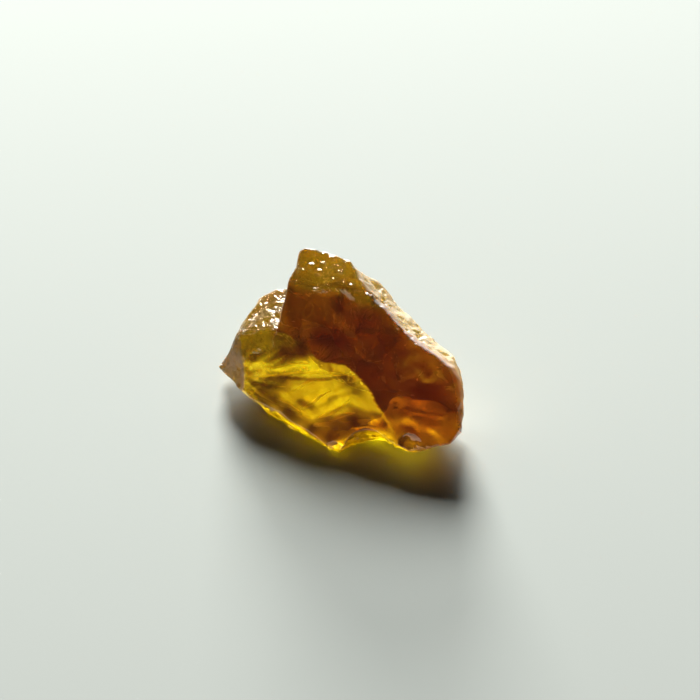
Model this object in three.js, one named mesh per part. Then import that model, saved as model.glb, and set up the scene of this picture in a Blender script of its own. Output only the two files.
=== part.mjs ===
// Rough diamond crystal, 8 mm wide, standing on its one flat break.
// Millimetres, +Z up. The origin is the middle of the footprint, on the resting face;
// +X runs along the long crest to the right, +Y to the back of the stone.
import * as THREE from 'three';
import { mergeVertices } from 'three/addons/utils/BufferGeometryUtils.js';

// ---------------------------------------------------------------------------
// Driving dimensions (mm)

// A point deep inside the stone from which all of its skin can be seen.
const CORE = [0.2548, 0.4618, 1.62];
const MESH_DETAIL = 20; // subdivision of the geodesic ball of directions
const STRETCH = [1.5, 1.1, 1.0]; // proportions of the ball: long, low stone
const EDGE_TURNS = 8; // passes of turning mesh edges onto the crests
const EDGE_GAIN = 0.003; // mm nearer to the skin before an edge is turned
const FAR = 1000; // 'never reached'

const BODY_COLOUR = 0x8a5a12; // brownish yellow, clear body seen through a few millimetres
const BODY_ROUGHNESS = 0.18; // between the glossy breaks and the etched skin

// Directions and phases of the slow swells that keep every face from being dead flat.
const SWELLS = [
  [1, 0.35, -0.45, 0.4],
  [-0.3, 0.95, 0.6, 2.1],
  [0.55, -0.6, 1.1, 4],
  [-0.85, -0.4, 0.75, 1.2],
  [0.2, 1.25, -0.8, 5.3],
  [1.45, -0.95, 0.3, 3.1],
];

// Facets of the stone. normal . p = offset is the plane; bend is its curvature (1/mm,
// below zero is dished) about centre, nothing at rim millimetres from it; rough and
// grain are the height (mm) and frequency (1/mm) of its swells.
const FACETS = [
  // broad, faintly dished break facing front left
  { name: 'front_left', normal: [-0.37809, -0.74538, 0.54905], offset: 2.1263, bend: -0.017, centre: [-0.104, -1.525, 1.731], rim: 1.6, rough: 0.012, grain: 1.6 },
  // upper front slope, carries the shell-shaped hollow
  { name: 'front_right', normal: [-0.27524, -0.67368, 0.68586], offset: 2.4101, bend: 0, centre: [0, 0, 0], rim: 0, rough: 0.018, grain: 2.2 },
  // rounded lobe at the right, middle
  { name: 'lobe_mid', normal: [-0.18184, -0.66967, 0.72005], offset: 2.5394, bend: 0, centre: [0, 0, 0], rim: 0, rough: 0.022, grain: 2.6 },
  // rounded lobe at the right, low
  { name: 'lobe_low', normal: [-0.2123, -0.70059, 0.68125], offset: 2.4983, bend: 0, centre: [0, 0, 0], rim: 0, rough: 0.022, grain: 2.4 },
  // etched slope under the peak
  { name: 'peak_front', normal: [-0.15529, -0.31931, 0.93484], offset: 3.7201, bend: -0.07, centre: [-0.106, 1.211, 4.375], rim: 1.2, rough: 0.035, grain: 3.4 },
  // skin band falling from the crest to the right end
  { name: 'skin_band', normal: [0.62196, 0.23013, 0.74847], offset: 4.0693, bend: -0.075, centre: [1.931, -0.403, 3.893], rim: 2.1, rough: 0.022, grain: 2.4 },
  // small skin face closing the right end
  { name: 'right_end', normal: [0.79904, -0.27837, 0.53296], offset: 4.8935, bend: 0, centre: [0, 0, 0], rim: 0, rough: 0.03, grain: 3.2 },
  // face that the stone rests on, exactly flat
  { name: 'rest_face', normal: [0, 0, -1], offset: 0, bend: 0, centre: [0, 0, 0], rim: 0, rough: 0, grain: 1 },
  // undercut at the front left
  { name: 'under_left', normal: [-0.55977, -0.62331, -0.54603], offset: 1.462, bend: 0, centre: [0, 0, 0], rim: 0, rough: 0.02, grain: 2.2 },
  // narrow face at the foot of the front
  { name: 'low_front', normal: [0.141, -0.2433, -0.95965], offset: 0.3748, bend: 0, centre: [0, 0, 0], rim: 0, rough: 0.02, grain: 2 },
  // undercut at the front right
  { name: 'under_right', normal: [0.35567, -0.3001, -0.88512], offset: 1.1741, bend: 0, centre: [0, 0, 0], rim: 0, rough: 0.02, grain: 2 },
  // back of the peak
  { name: 'peak_back', normal: [0.15319, 0.89251, 0.42421], offset: 4.0108, bend: 0, centre: [0, 0, 0], rim: 0, rough: 0.025, grain: 2.6 },
  // back of the crest, beside the peak
  { name: 'crest_back', normal: [0.48693, 0.57532, 0.6572], offset: 4.22, bend: 0, centre: [0, 0, 0], rim: 0, rough: 0.025, grain: 2.6 },
  // back of the long crest
  { name: 'back_break', normal: [0.62138, 0.75599, -0.20581], offset: 1.5013, bend: 0, centre: [0, 0, 0], rim: 0, rough: 0.025, grain: 2.6 },
  // back corner of the right end
  { name: 'right_back_corner', normal: [0.90338, 0.13898, 0.4057], offset: 4.3248, bend: 0, centre: [0, 0, 0], rim: 0, rough: 0.025, grain: 2.6 },
  // right flank
  { name: 'right_flank', normal: [0.99845, 0.03603, 0.04233], offset: 3.9976, bend: 0, centre: [0, 0, 0], rim: 0, rough: 0.025, grain: 2.6 },
  // right foot
  { name: 'right_foot', normal: [0.72052, -0.63208, -0.28517], offset: 4.3399, bend: 0, centre: [0, 0, 0], rim: 0, rough: 0.025, grain: 2.6 },
  // left wall of the peak
  { name: 'peak_left_wall', normal: [-0.92131, 0.15848, 0.35507], offset: 3.1929, bend: 0, centre: [0, 0, 0], rim: 0, rough: 0.025, grain: 2.6 },
  // left edge of the front slope
  { name: 'peak_left', normal: [-0.94771, 0.31613, 0.04367], offset: 2.1638, bend: 0, centre: [0, 0, 0], rim: 0, rough: 0.025, grain: 2.6 },
  // dark slope of the left shoulder
  { name: 'left_dark', normal: [-0.44016, -0.53622, 0.72023], offset: 2.7353, bend: 0, centre: [0, 0, 0], rim: 0, rough: 0.03, grain: 3 },
  // etched shoulder at the left
  { name: 'shoulder', normal: [-0.34911, 0.05932, 0.9352], offset: 3.463, bend: 0, centre: [0, 0, 0], rim: 0, rough: 0.04, grain: 3.8 },
  // left tip
  { name: 'left_tip', normal: [-0.74524, -0.51335, 0.42554], offset: 3.08, bend: 0, centre: [0, 0, 0], rim: 0, rough: 0.045, grain: 4.2 },
  // back of the neck
  { name: 'neck_back', normal: [-0.28835, 0.924, 0.25117], offset: 3.809, bend: 0, centre: [0, 0, 0], rim: 0, rough: 0.025, grain: 2.6 },
  // back of the left shoulder and tip
  { name: 'shoulder_back', normal: [-0.85632, 0.35856, 0.37169], offset: 4.1191, bend: 0, centre: [0, 0, 0], rim: 0, rough: 0.025, grain: 2.6 },
  // foot of the left tip
  { name: 'tip_foot', normal: [-0.47649, -0.35642, -0.80369], offset: 0.8554, bend: 0, centre: [0, 0, 0], rim: 0, rough: 0.025, grain: 2.6 },
  // inner side of the shoulder block, buried in the stone
  { name: 'shoulder_inner', normal: [0.98058, 0, 0.19612], offset: -0.0698, bend: 0, centre: [0, 0, 0], rim: 0, rough: 0.025, grain: 2.6 },
  // undercut at the lower back
  { name: 'back_foot', normal: [-0.03063, 0.37254, -0.92751], offset: 0.4175, bend: 0, centre: [0, 0, 0], rim: 0, rough: 0.025, grain: 2.6 },
];
const facetIndex = (name) => FACETS.findIndex((f) => f.name === name);

// The stone is two blocks grown together: the main block under the peak and the crest,
// and the lower shoulder block on its left. Each is bounded by these facets.
const LUMPS = [
  [
    'front_left', 'front_right', 'lobe_mid', 'lobe_low', 'peak_front', 'skin_band', 'right_end',
    'rest_face', 'under_left', 'low_front', 'under_right', 'peak_back', 'crest_back', 'back_break',
    'right_back_corner', 'right_flank', 'right_foot', 'peak_left_wall', 'peak_left', 'back_foot',
  ].map(facetIndex),
  [
    'front_left', 'front_right', 'lobe_mid', 'lobe_low', 'skin_band', 'right_end', 'rest_face',
    'under_left', 'low_front', 'under_right', 'back_break', 'right_back_corner', 'right_flank',
    'right_foot', 'left_dark', 'shoulder', 'left_tip', 'neck_back', 'shoulder_back', 'tip_foot',
    'shoulder_inner', 'back_foot',
  ].map(facetIndex),
];

// Shell-shaped fractures bitten out of the blocks: balls of the given centre and radius.
const BITES = [
  // large shell-shaped hollow in the front slope
  { name: 'hollow', centre: [-0.75, -2.143, 5.559], radius: 3.342, rough: 0.01, grain: 1.3 },
  // nick in the lower front edge
  { name: 'notch', centre: [1.018, -3.077, 0.296], radius: 1, rough: 0.02, grain: 4 },
  // small lens-shaped flake scar at the right foot
  { name: 'lens', centre: [2.023, -3.904, 1.604], radius: 1.02, rough: 0.01, grain: 3 },
  // shell chip at the front foot
  { name: 'chip', centre: [-0.326, -2.945, 0.56], radius: 0.62, rough: 0.01, grain: 3 },
  // flake scar above the left tip
  { name: 'tip_scar', centre: [-6.827, 1.873, 3.244], radius: 3.698, rough: 0.008, grain: 3 },
  // nick beside the peak
  { name: 'peak_nick', centre: [-1.371, 2.613, 4.818], radius: 0.334, rough: 0.008, grain: 3 },
  // broad shell scar in the back break
  { name: 'back_scar', centre: [2.514, 4.017, 0.363], radius: 3.2, rough: 0.008, grain: 3 },
  // small scar on the crest
  { name: 'crest_scar', centre: [2.635, 2.152, 1.787], radius: 1.5, rough: 0.008, grain: 3 },
  // shell scar behind the left tip
  { name: 'left_back_scar', centre: [-3.065, 4.232, 2.481], radius: 1.7, rough: 0.008, grain: 3 },
  // small scar at the back of the right end
  { name: 'right_scar', centre: [4, 0.217, 1.048], radius: 1, rough: 0.008, grain: 3 },
  // flake scar in the front left undercut
  { name: 'left_foot_scar', centre: [-2.884, -1.53, -0.228], radius: 1.3, rough: 0.008, grain: 3 },
  // small scar behind the peak
  { name: 'peak_back_scar', centre: [1.141, 3.036, 3.069], radius: 0.95, rough: 0.008, grain: 3 },
];

// ---------------------------------------------------------------------------
// Small vector helpers
const dot = (a, b) => a[0] * b[0] + a[1] * b[1] + a[2] * b[2];
const sub = (a, b) => [a[0] - b[0], a[1] - b[1], a[2] - b[2]];
const along = (a, d, t) => [a[0] + d[0] * t, a[1] + d[1] * t, a[2] + d[2] * t];
const mix = (a, b, t) => [a[0] + (b[0] - a[0]) * t, a[1] + (b[1] - a[1]) * t, a[2] + (b[2] - a[2]) * t];
const unit = (a) => { const l = Math.hypot(a[0], a[1], a[2]); return [a[0] / l, a[1] / l, a[2] / l]; };

// Gentle undulation of a broken or etched face: a sum of slanted sine swells,
// about one unit high, read at a point in millimetres.
function swell(p, freq, phase) {
  let s = 0;
  for (const [x, y, z, w] of SWELLS) s += Math.sin((x * p[0] + y * p[1] + z * p[2]) * freq + w + phase);
  return s / SWELLS.length;
}

// Distance from the core to one facet along direction d. A facet is a plane
// (normal . p = offset) that may be dished or domed about its centre and
// carries a faint swell; it only bounds the stone on its outer side.
function facetReach(f, d) {
  const q = dot(f.normal, d);
  const h = f.offset - dot(f.normal, CORE);
  if (q <= 1e-3 || h <= 0) return FAR;
  let r = h / q;
  if (r > 14) return FAR;
  let lift = 0;
  const p = along(CORE, d, r);
  if (f.bend) {
    const v = sub(p, f.centre);
    const out = dot(v, f.normal);
    const flat = dot(v, v) - out * out;
    lift -= 0.5 * f.bend * (flat - f.rim * f.rim);
  }
  if (f.rough) lift += f.rough * swell(p, f.grain, f.offset * 3);
  return r + lift / Math.max(q, 0.12);
}

// Distance at which direction d comes back inside a convex lump whose plane
// lies between it and the core (0 when the core is inside that plane).
function facetEntry(f, d) {
  const h = f.offset - dot(f.normal, CORE);
  if (h >= 0) return 0;
  const q = dot(f.normal, d);
  return q < -1e-6 ? h / q : FAR;
}

// Distance to a shell-shaped fracture: a ball bitten out of the stone. Past the
// edge of the ball the wall of the bite flares out steeply.
function biteReach(b, d) {
  const oc = sub(CORE, b.centre);
  const k = dot(oc, d);
  if (k >= 0) return FAR;
  const cc = dot(oc, oc);
  const disc = k * k - (cc - b.radius * b.radius);
  const ripple = b.rough ? b.rough * swell(along(CORE, d, -k), b.grain, b.radius * 5) : 0;
  if (disc > 0) return -k - Math.sqrt(disc) + ripple;
  const past = Math.sqrt(cc - k * k) - b.radius;
  return -k + 2.5 * past + 6 * past * past;
}

// Skin of the stone along direction d: the nearest facet of each lump, the
// farther of the lumps, and then any bite that reaches deeper.
function skin(d) {
  let reach = -1;
  let face = -1;
  for (const lump of LUMPS) {
    let r = FAR;
    let id = -1;
    let entry = 0;
    for (const i of lump) {
      const t = facetReach(FACETS[i], d);
      if (t < r) { r = t; id = i; }
      entry = Math.max(entry, facetEntry(FACETS[i], d));
    }
    if (reach < 0) { reach = r; face = id; } else if (r > reach && entry <= reach) { reach = r; face = id; }
  }
  BITES.forEach((b, k) => {
    const t = biteReach(b, d);
    if (t < reach) { reach = t; face = FACETS.length + k; }
  });
  return { reach, face };
}

// ---------------------------------------------------------------------------
// Directions: a geodesic ball, stretched so that its triangles come out about
// equal on the long, low stone.
function directions() {
  const ball = new THREE.IcosahedronGeometry(1, MESH_DETAIL);
  ball.deleteAttribute('normal');
  ball.deleteAttribute('uv');
  const merged = mergeVertices(ball, 1e-5);
  const pos = merged.getAttribute('position');
  const dirs = [];
  for (let i = 0; i < pos.count; i += 1) {
    dirs.push(unit([pos.getX(i) * STRETCH[0], pos.getY(i) * STRETCH[1], pos.getZ(i) * STRETCH[2]]));
  }
  return { dirs, index: Array.from(merged.getIndex().array) };
}

// Slide mesh vertices onto the edges between facets, so that every crest and
// ridge of the stone is a clean chain of triangle edges.
function settleOnEdges(dirs, index) {
  const face0 = dirs.map((d) => skin(d).face);
  const edges = new Map();
  for (let t = 0; t < index.length; t += 3) {
    for (let k = 0; k < 3; k += 1) {
      const a = index[t + k];
      const b = index[t + ((k + 1) % 3)];
      if (face0[a] !== face0[b]) edges.set(a < b ? `${a}_${b}` : `${b}_${a}`, a < b ? [a, b] : [b, a]);
    }
  }
  const moved = new Map();
  for (let pass = 0; pass < 2; pass += 1) {
    const moves = [];
    for (const [a, b] of edges.values()) {
      if (pass === 1 && (moved.has(a) || moved.has(b))) continue;
      let lo = 0;
      let hi = 1;
      for (let k = 0; k < 14; k += 1) {
        const m = (lo + hi) / 2;
        if (skin(unit(mix(dirs[a], dirs[b], m))).face === face0[a]) lo = m; else hi = m;
      }
      const m = (lo + hi) / 2;
      moves.push({ vertex: m < 0.5 ? a : b, cost: Math.min(m, 1 - m), dir: unit(mix(dirs[a], dirs[b], m)) });
    }
    moves.sort((x, y) => x.cost - y.cost);
    for (const mv of moves) if (!moved.has(mv.vertex)) moved.set(mv.vertex, mv.dir);
  }
  return dirs.map((d, i) => moved.get(i) ?? d);
}

// Six times the volume of the wedge from the core to a triangle: positive as long
// as the triangle faces outward.
function wedge(a, b, c) {
  const [u, v, w] = [sub(a, CORE), sub(b, CORE), sub(c, CORE)];
  return u[0] * (v[1] * w[2] - v[2] * w[1]) + u[1] * (v[2] * w[0] - v[0] * w[2]) + u[2] * (v[0] * w[1] - v[1] * w[0]);
}

// Smallest angle of a triangle, in degrees.
function sharpest(a, b, c) {
  const corner = (p, q, r) => Math.acos(Math.min(1, Math.max(-1, dot(unit(sub(q, p)), unit(sub(r, p))))));
  return Math.min(corner(a, b, c), corner(b, c, a), corner(c, a, b)) * (180 / Math.PI);
}

// How far the middle of a mesh edge lies from the true skin.
function missAt(a, b) {
  const m = sub(mix(a, b, 0.5), CORE);
  return Math.abs(skin(unit(m)).reach - Math.hypot(m[0], m[1], m[2]));
}

// Turn mesh edges that cut across a crest or bridge a hollow, so that the two
// triangles beside them meet along the stone's own edge instead.
function turnEdges(points, index) {
  for (let pass = 0; pass < EDGE_TURNS; pass += 1) {
    const sides = new Map();
    const key = (a, b) => (a < b ? `${a}_${b}` : `${b}_${a}`);
    for (let t = 0; t < index.length; t += 3) {
      for (let k = 0; k < 3; k += 1) {
        const id = key(index[t + k], index[t + ((k + 1) % 3)]);
        if (sides.has(id)) sides.get(id).push(t); else sides.set(id, [t]);
      }
    }
    const turns = [];
    for (const [t1, t2] of sides.values()) {
      const one = [index[t1], index[t1 + 1], index[t1 + 2]];
      const two = [index[t2], index[t2 + 1], index[t2 + 2]];
      const k = one.findIndex((v) => !two.includes(v));
      const c = one[k];
      const a = one[(k + 1) % 3];
      const b = one[(k + 2) % 3];
      const d = two.find((v) => !one.includes(v));
      if (d === undefined || sides.has(key(c, d))) continue;
      const [A, B, C, D] = [points[a], points[b], points[c], points[d]];
      const gain = missAt(A, B) - missAt(C, D);
      if (gain < EDGE_GAIN || wedge(A, D, C) < 1e-4 || wedge(D, B, C) < 1e-4) continue;
      if (Math.min(sharpest(A, D, C), sharpest(D, B, C)) < 7) continue;
      turns.push({ gain, t1, t2, a, b, c, d });
    }
    turns.sort((x, y) => y.gain - x.gain);
    const held = new Set();
    for (const { t1, t2, a, b, c, d } of turns) {
      if ([a, b, c, d].some((v) => held.has(v))) continue;
      [a, b, c, d].forEach((v) => held.add(v));
      index.splice(t1, 3, a, d, c);
      index.splice(t2, 3, d, b, c);
    }
    if (!turns.length) break;
  }
}

function stoneGeometry() {
  const { dirs, index } = directions();
  const points = settleOnEdges(dirs, index).map((d) => along(CORE, d, skin(d).reach));
  turnEdges(points, index);
  const xyz = new Float32Array(points.flat());
  const geometry = new THREE.BufferGeometry();
  geometry.setAttribute('position', new THREE.BufferAttribute(xyz, 3));
  geometry.setIndex(index);
  geometry.computeVertexNormals();
  return geometry;
}

const stone = new THREE.Mesh(
  stoneGeometry(),
  new THREE.MeshStandardMaterial({ color: BODY_COLOUR, roughness: BODY_ROUGHNESS, metalness: 0 }),
);
stone.name = 'rough_crystal';

const model = new THREE.Group();
model.name = 'rough_diamond';
model.add(stone);

export default model;
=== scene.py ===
"""Rough diamond crystal, 8 mm wide: the stone's fine skin, its clear yellow body with absorption, the
inclusions sealed in it, the floor, the light and the camera."""
import math

import bpy
import numpy as np
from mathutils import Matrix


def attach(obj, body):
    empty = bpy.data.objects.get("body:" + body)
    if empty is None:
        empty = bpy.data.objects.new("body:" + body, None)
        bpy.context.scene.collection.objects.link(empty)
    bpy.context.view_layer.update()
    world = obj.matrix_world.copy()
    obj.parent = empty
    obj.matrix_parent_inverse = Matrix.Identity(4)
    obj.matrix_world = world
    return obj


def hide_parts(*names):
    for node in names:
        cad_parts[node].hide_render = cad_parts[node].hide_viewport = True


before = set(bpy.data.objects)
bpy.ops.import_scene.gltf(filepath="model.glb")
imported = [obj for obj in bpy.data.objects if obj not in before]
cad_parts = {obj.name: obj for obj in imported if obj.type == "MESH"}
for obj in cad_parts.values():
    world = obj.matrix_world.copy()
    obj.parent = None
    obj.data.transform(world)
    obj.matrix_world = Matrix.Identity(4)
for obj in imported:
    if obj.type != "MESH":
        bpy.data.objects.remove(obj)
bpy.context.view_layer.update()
MM = 0.001  # the tables below are in millimetres, as the part is

# ----------------------------------------------------------------------------------------------
# The stone's form: the part's own facets, blocks and bites
CORE = np.array([0.2548, 0.4618, 1.62])
SHIFT = np.array([-0.0548, -0.1118, -0.27])  # from the camera's frame to the row frame
SWELLS = [
    [1.0, 0.35, -0.45, 0.4],
    [-0.3, 0.95, 0.6, 2.1],
    [0.55, -0.6, 1.1, 4.0],
    [-0.85, -0.4, 0.75, 1.2],
    [0.2, 1.25, -0.8, 5.3],
    [1.45, -0.95, 0.3, 3.1],
]
FACETS = [
    dict(name='front_left', normal=[-0.37809, -0.74538, 0.54905], offset=2.1263, bend=-0.017, centre=[-0.104, -1.525, 1.731], rim=1.6,
         rough=0.012, grain=1.6),
    dict(name='front_right', normal=[-0.27524, -0.67368, 0.68586], offset=2.4101, bend=0.0, centre=[0.0, 0.0, 0.0], rim=0.0,
         rough=0.018, grain=2.2),
    dict(name='lobe_mid', normal=[-0.18184, -0.66967, 0.72005], offset=2.5394, bend=0.0, centre=[0.0, 0.0, 0.0], rim=0.0,
         rough=0.022, grain=2.6),
    dict(name='lobe_low', normal=[-0.2123, -0.70059, 0.68125], offset=2.4983, bend=0.0, centre=[0.0, 0.0, 0.0], rim=0.0,
         rough=0.022, grain=2.4),
    dict(name='peak_front', normal=[-0.15529, -0.31931, 0.93484], offset=3.7201, bend=-0.07, centre=[-0.106, 1.211, 4.375], rim=1.2,
         rough=0.035, grain=3.4),
    dict(name='skin_band', normal=[0.62196, 0.23013, 0.74847], offset=4.0693, bend=-0.075, centre=[1.931, -0.403, 3.893], rim=2.1,
         rough=0.022, grain=2.4),
    dict(name='right_end', normal=[0.79904, -0.27837, 0.53296], offset=4.8935, bend=0.0, centre=[0.0, 0.0, 0.0], rim=0.0,
         rough=0.03, grain=3.2),
    dict(name='rest_face', normal=[0.0, 0.0, -1.0], offset=0.0, bend=0.0, centre=[0.0, 0.0, 0.0], rim=0.0,
         rough=0.0, grain=1.0),
    dict(name='under_left', normal=[-0.55977, -0.62331, -0.54603], offset=1.462, bend=0.0, centre=[0.0, 0.0, 0.0], rim=0.0,
         rough=0.02, grain=2.2),
    dict(name='low_front', normal=[0.141, -0.2433, -0.95965], offset=0.3748, bend=0.0, centre=[0.0, 0.0, 0.0], rim=0.0,
         rough=0.02, grain=2.0),
    dict(name='under_right', normal=[0.35567, -0.3001, -0.88512], offset=1.1741, bend=0.0, centre=[0.0, 0.0, 0.0], rim=0.0,
         rough=0.02, grain=2.0),
    dict(name='peak_back', normal=[0.15319, 0.89251, 0.42421], offset=4.0108, bend=0.0, centre=[0.0, 0.0, 0.0], rim=0.0,
         rough=0.025, grain=2.6),
    dict(name='crest_back', normal=[0.48693, 0.57532, 0.6572], offset=4.22, bend=0.0, centre=[0.0, 0.0, 0.0], rim=0.0,
         rough=0.025, grain=2.6),
    dict(name='back_break', normal=[0.62138, 0.75599, -0.20581], offset=1.5013, bend=0.0, centre=[0.0, 0.0, 0.0], rim=0.0,
         rough=0.025, grain=2.6),
    dict(name='right_back_corner', normal=[0.90338, 0.13898, 0.4057], offset=4.3248, bend=0.0, centre=[0.0, 0.0, 0.0], rim=0.0,
         rough=0.025, grain=2.6),
    dict(name='right_flank', normal=[0.99845, 0.03603, 0.04233], offset=3.9976, bend=0.0, centre=[0.0, 0.0, 0.0], rim=0.0,
         rough=0.025, grain=2.6),
    dict(name='right_foot', normal=[0.72052, -0.63208, -0.28517], offset=4.3399, bend=0.0, centre=[0.0, 0.0, 0.0], rim=0.0,
         rough=0.025, grain=2.6),
    dict(name='peak_left_wall', normal=[-0.92131, 0.15848, 0.35507], offset=3.1929, bend=0.0, centre=[0.0, 0.0, 0.0], rim=0.0,
         rough=0.025, grain=2.6),
    dict(name='peak_left', normal=[-0.94771, 0.31613, 0.04367], offset=2.1638, bend=0.0, centre=[0.0, 0.0, 0.0], rim=0.0,
         rough=0.025, grain=2.6),
    dict(name='left_dark', normal=[-0.44016, -0.53622, 0.72023], offset=2.7353, bend=0.0, centre=[0.0, 0.0, 0.0], rim=0.0,
         rough=0.03, grain=3.0),
    dict(name='shoulder', normal=[-0.34911, 0.05932, 0.9352], offset=3.463, bend=0.0, centre=[0.0, 0.0, 0.0], rim=0.0,
         rough=0.04, grain=3.8),
    dict(name='left_tip', normal=[-0.74524, -0.51335, 0.42554], offset=3.08, bend=0.0, centre=[0.0, 0.0, 0.0], rim=0.0,
         rough=0.045, grain=4.2),
    dict(name='neck_back', normal=[-0.28835, 0.924, 0.25117], offset=3.809, bend=0.0, centre=[0.0, 0.0, 0.0], rim=0.0,
         rough=0.025, grain=2.6),
    dict(name='shoulder_back', normal=[-0.85632, 0.35856, 0.37169], offset=4.1191, bend=0.0, centre=[0.0, 0.0, 0.0], rim=0.0,
         rough=0.025, grain=2.6),
    dict(name='tip_foot', normal=[-0.47649, -0.35642, -0.80369], offset=0.8554, bend=0.0, centre=[0.0, 0.0, 0.0], rim=0.0,
         rough=0.025, grain=2.6),
    dict(name='shoulder_inner', normal=[0.98058, 0.0, 0.19612], offset=-0.0698, bend=0.0, centre=[0.0, 0.0, 0.0], rim=0.0,
         rough=0.025, grain=2.6),
    dict(name='back_foot', normal=[-0.03063, 0.37254, -0.92751], offset=0.4175, bend=0.0, centre=[0.0, 0.0, 0.0], rim=0.0,
         rough=0.025, grain=2.6),
]
LUMPS = [
    [0, 1, 2, 3, 4, 5, 6, 7, 8, 9, 10, 11, 12, 13, 14, 15, 16, 17, 18, 26],
    [0, 1, 2, 3, 5, 6, 7, 8, 9, 10, 13, 14, 15, 16, 19, 20, 21, 22, 23, 24, 25, 26],
]
BITES = [
    dict(name='hollow', centre=[-0.75, -2.143, 5.559], radius=3.342, rough=0.01, grain=1.3),
    dict(name='notch', centre=[1.018, -3.077, 0.296], radius=1.0, rough=0.02, grain=4.0),
    dict(name='lens', centre=[2.023, -3.904, 1.604], radius=1.02, rough=0.01, grain=3.0),
    dict(name='chip', centre=[-0.326, -2.945, 0.56], radius=0.62, rough=0.01, grain=3.0),
    dict(name='tip_scar', centre=[-6.827, 1.873, 3.244], radius=3.698, rough=0.008, grain=3.0),
    dict(name='peak_nick', centre=[-1.371, 2.613, 4.818], radius=0.334, rough=0.008, grain=3.0),
    dict(name='back_scar', centre=[2.514, 4.017, 0.363], radius=3.2, rough=0.008, grain=3.0),
    dict(name='crest_scar', centre=[2.635, 2.152, 1.787], radius=1.5, rough=0.008, grain=3.0),
    dict(name='left_back_scar', centre=[-3.065, 4.232, 2.481], radius=1.7, rough=0.008, grain=3.0),
    dict(name='right_scar', centre=[4.0, 0.217, 1.048], radius=1.0, rough=0.008, grain=3.0),
    dict(name='left_foot_scar', centre=[-2.884, -1.53, -0.228], radius=1.3, rough=0.008, grain=3.0),
    dict(name='peak_back_scar', centre=[1.141, 3.036, 3.069], radius=0.95, rough=0.008, grain=3.0),
]

FAR = 1000.0
FINE = 96  # subdivision of the geodesic ball of directions
STRETCH = np.array([1.5, 1.1, 1.0])


# ----------------------------------------------------------------------------------------------
# Noise, made from whole numbers, so that it comes out the same every time
def _hash(i, j, k, seed):
    n = (i * 73856093) ^ (j * 19349663) ^ (k * 83492791) ^ (seed * 2654435761)
    n = (n ^ (n >> 13)) * 1274126177
    n = n & 0x7FFFFFFF
    n = (n ^ (n >> 15)) * 2246822519
    n = n & 0x7FFFFFFF
    return ((n ^ (n >> 14)) & 0xFFFFF) / float(0xFFFFF)


def noise(p, freq, seed=0):
    """Smooth value noise, -1 to 1, at points p."""
    q = p * freq
    c = np.floor(q).astype(np.int64)
    f = q - c
    f = f * f * f * (f * (f * 6 - 15) + 10)
    out = 0.0
    for a in (0, 1):
        wa = f[:, 0] if a else 1 - f[:, 0]
        for b in (0, 1):
            wb = f[:, 1] if b else 1 - f[:, 1]
            for d in (0, 1):
                wd = f[:, 2] if d else 1 - f[:, 2]
                out = out + wa * wb * wd * _hash(c[:, 0] + a, c[:, 1] + b, c[:, 2] + d, seed)
    return out * 2 - 1


def fbm(p, freq, octaves=4, seed=0, gain=0.5):
    total, amp, norm = 0.0, 1.0, 0.0
    for o in range(octaves):
        total = total + amp * noise(p + 17.3 * o, freq * 2.03**o, seed + o)
        norm += amp
        amp *= gain
    return total / norm


def swell(p, freq, phase):
    s = 0.0
    for x, y, z, w in SWELLS:
        s = s + np.sin((x * p[:, 0] + y * p[:, 1] + z * p[:, 2]) * freq + w + phase)
    return s / len(SWELLS)


# ----------------------------------------------------------------------------------------------
# How far the skin is from the core, along directions d
def facet_reach(f, d):
    n = np.array(f["normal"])
    q = d @ n
    h = f["offset"] - n @ CORE
    r = np.full(len(d), FAR)
    if h <= 0:
        return r
    ok = q > 1e-3
    flat_r = np.where(ok, h / np.where(ok, q, 1), FAR)
    m = flat_r <= 14
    p = CORE + d[m] * flat_r[m, None]
    lift = np.zeros(m.sum())
    if f["bend"]:
        v = p - np.array(f["centre"])
        out = v @ n
        lift -= 0.5 * f["bend"] * ((v * v).sum(1) - out * out - f["rim"] ** 2)
    if f["rough"]:
        lift += f["rough"] * swell(p, f["grain"], f["offset"] * 3)
    r[m] = flat_r[m] + lift / np.maximum(q[m], 0.12)
    return r


def facet_entry(f, d):
    n = np.array(f["normal"])
    h = f["offset"] - n @ CORE
    if h >= 0:
        return np.zeros(len(d))
    q = d @ n
    return np.where(q < -1e-6, h / np.minimum(q, -1e-6), FAR)


def bite_reach(b, d):
    oc = CORE - np.array(b["centre"])
    k = d @ oc
    cc = oc @ oc
    disc = k * k - (cc - b["radius"] ** 2)
    ripple = b["rough"] * swell(CORE - d * k[:, None], b["grain"], b["radius"] * 5) if b["rough"] else 0.0
    past = np.sqrt(np.maximum(cc - k * k, 0)) - b["radius"]
    r = np.where(disc > 0, -k - np.sqrt(np.maximum(disc, 0)) + ripple, -k + 2.5 * past + 6 * past * past)
    return np.where(k >= 0, FAR, r)


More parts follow.
